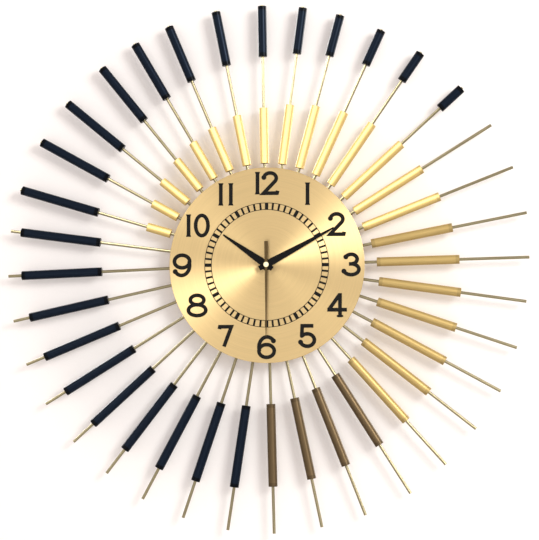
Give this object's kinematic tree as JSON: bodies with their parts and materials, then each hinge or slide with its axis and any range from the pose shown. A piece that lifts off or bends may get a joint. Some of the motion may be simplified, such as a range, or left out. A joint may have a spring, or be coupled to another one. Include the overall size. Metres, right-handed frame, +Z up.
{
  "type": "sunburst wall clock",
  "caption": "Sunburst wall clock: brushed gold dial on a wire frame of radiating spokes with gold, bronze and navy sleeves, and a quartz hand movement.",
  "frame": {"origin": "centre of the keyhole in the hanger plate, on the wall plane", "axes": "+Z up, the dial faces -Y and the wall is at y = 0, +X to the right as the dial is read"},
  "size_m": [0.6962, 0.0373, 0.7049],
  "materials": {
    "rod_gold": "satin gold lacquer",
    "frame_gold": "gold lacquer",
    "sleeve_gold": "metallic gold, satin",
    "sleeve_bronze": "dark metallic gold, satin",
    "sleeve_navy": "dark navy, satin",
    "zinc_steel": "zinc plated",
    "bumper_rubber": "matt",
    "dial_board": "sanded fibreboard",
    "brushed_gold": "radially brushed, gold anodised",
    "black_ink": "screen print",
    "black_plastic": "moulded",
    "bright_brass": "turned",
    "gear_plastic": "moulded acetal",
    "motor_steel": "stamped",
    "bobbin_plastic": "moulded",
    "copper_wire": "enamelled wire",
    "circuit_green": "solder mask",
    "chip_black": "epoxy drop",
    "crystal_can": "drawn can",
    "magnet": "sintered",
    "spring_steel": "nickel plated",
    "battery_wrap": "printed sleeve",
    "black_hands": "satin black",
    "dark_gold_hand": "dark gold lacquer",
    "cream_cap": "cream gloss"
  },
  "bodies": {
    "frame": {"spokes_upper_right": "rod_gold", "spokes_lower_right": "rod_gold", "spokes_lower_left": "rod_gold", "spokes_upper_left": "rod_gold", "inner_hoop": "frame_gold", "outer_hoop": "frame_gold", "mounting_straps": "frame_gold", "dial_spacers": "frame_gold", "hanger_plate": "frame_gold", "gold_sleeves_left": "sleeve_gold", "gold_sleeves_top": "sleeve_gold", "gold_sleeves_right": "sleeve_gold", "gold_end_plugs": "sleeve_gold", "bronze_sleeves": "sleeve_bronze", "bronze_end_plugs": "sleeve_bronze", "navy_sleeves_bottom": "sleeve_navy", "navy_sleeves_left": "sleeve_navy", "navy_sleeves_top": "sleeve_navy", "navy_end_plugs": "sleeve_navy", "dial_screws": "zinc_steel", "wall_bumpers": "bumper_rubber", "rubber_washer": "bumper_rubber", "dial_board": "dial_board", "dial_plate": "brushed_gold", "minute_track": "black_ink", "numerals": "black_ink", "movement_case": "black_plastic", "movement_cover": "black_plastic", "threaded_bushing": "bright_brass", "brass_washer": "bright_brass", "hex_nut": "bright_brass", "train_bridge": "gear_plastic", "stator": "motor_steel", "coil_core": "motor_steel", "coil_bobbin": "bobbin_plastic", "coil_winding": "copper_wire", "circuit_board": "circuit_green", "clock_chip": "chip_black", "quartz_crystal": "crystal_can", "contact_positive": "spring_steel", "contact_negative": "spring_steel"},
    "seconds": {"second_hand": "dark_gold_hand", "second_cap": "cream_cap", "seconds_wheel": "gear_plastic"},
    "minute": {"minute_hand": "black_hands", "cannon_pinion": "gear_plastic", "clutch_spring": "spring_steel"},
    "hour": {"hour_hand": "black_hands", "hour_wheel": "gear_plastic"},
    "motion": {"motion_wheel": "gear_plastic", "setting_knob": "black_plastic"},
    "rotor": {"rotor": "magnet"},
    "intermediate": {"intermediate_wheel": "gear_plastic"},
    "third": {"third_wheel": "gear_plastic"},
    "centre": {"centre_wheel": "gear_plastic"},
    "battery": {"battery": "battery_wrap"}
  },
  "joints": [
    {"name": "second_hand_turn", "type": "hinge", "parent": "frame", "child": "seconds", "pos_m": [0, 0, -0.086], "axis": [0, 1, 0], "continuous": true},
    {"name": "minute_hand_turn", "type": "hinge", "parent": "frame", "child": "minute", "pos_m": [0, 0, -0.086], "axis": [0, 1, 0], "continuous": true},
    {"name": "hour_hand_turn", "type": "hinge", "parent": "frame", "child": "hour", "pos_m": [0, 0, -0.086], "axis": [0, 1, 0], "continuous": true},
    {"name": "setting_knob_turn", "type": "hinge", "parent": "frame", "child": "motion", "pos_m": [0, 0, -0.0764], "axis": [0, 1, 0], "continuous": true},
    {"name": "rotor_turn", "type": "hinge", "parent": "frame", "child": "rotor", "pos_m": [0.01505, 0, -0.07825], "axis": [0, 1, 0], "continuous": true},
    {"name": "intermediate_turn", "type": "hinge", "parent": "frame", "child": "intermediate", "pos_m": [0.00886, 0, -0.08444], "axis": [0, 1, 0], "continuous": true},
    {"name": "third_turn", "type": "hinge", "parent": "frame", "child": "third", "pos_m": [-0.00869, 0, -0.08367], "axis": [0, 1, 0], "continuous": true},
    {"name": "centre_turn", "type": "hinge", "parent": "frame", "child": "centre", "pos_m": [0, 0, -0.086], "axis": [0, 1, 0], "continuous": true},
    {"name": "battery_out", "type": "slide", "parent": "frame", "child": "battery", "axis": [0, 1, 0], "range_m": [0, 0.03]}
  ],
  "couplings": [
    {"joint": "intermediate_turn", "follows": "second_hand_turn", "ratio": -5},
    {"joint": "rotor_turn", "follows": "second_hand_turn", "ratio": 30},
    {"joint": "third_turn", "follows": "second_hand_turn", "ratio": -0.13333},
    {"joint": "centre_turn", "follows": "second_hand_turn", "ratio": 0.016667},
    {"joint": "setting_knob_turn", "follows": "minute_hand_turn", "ratio": -0.33333},
    {"joint": "hour_hand_turn", "follows": "minute_hand_turn", "ratio": 0.083333}
  ]
}
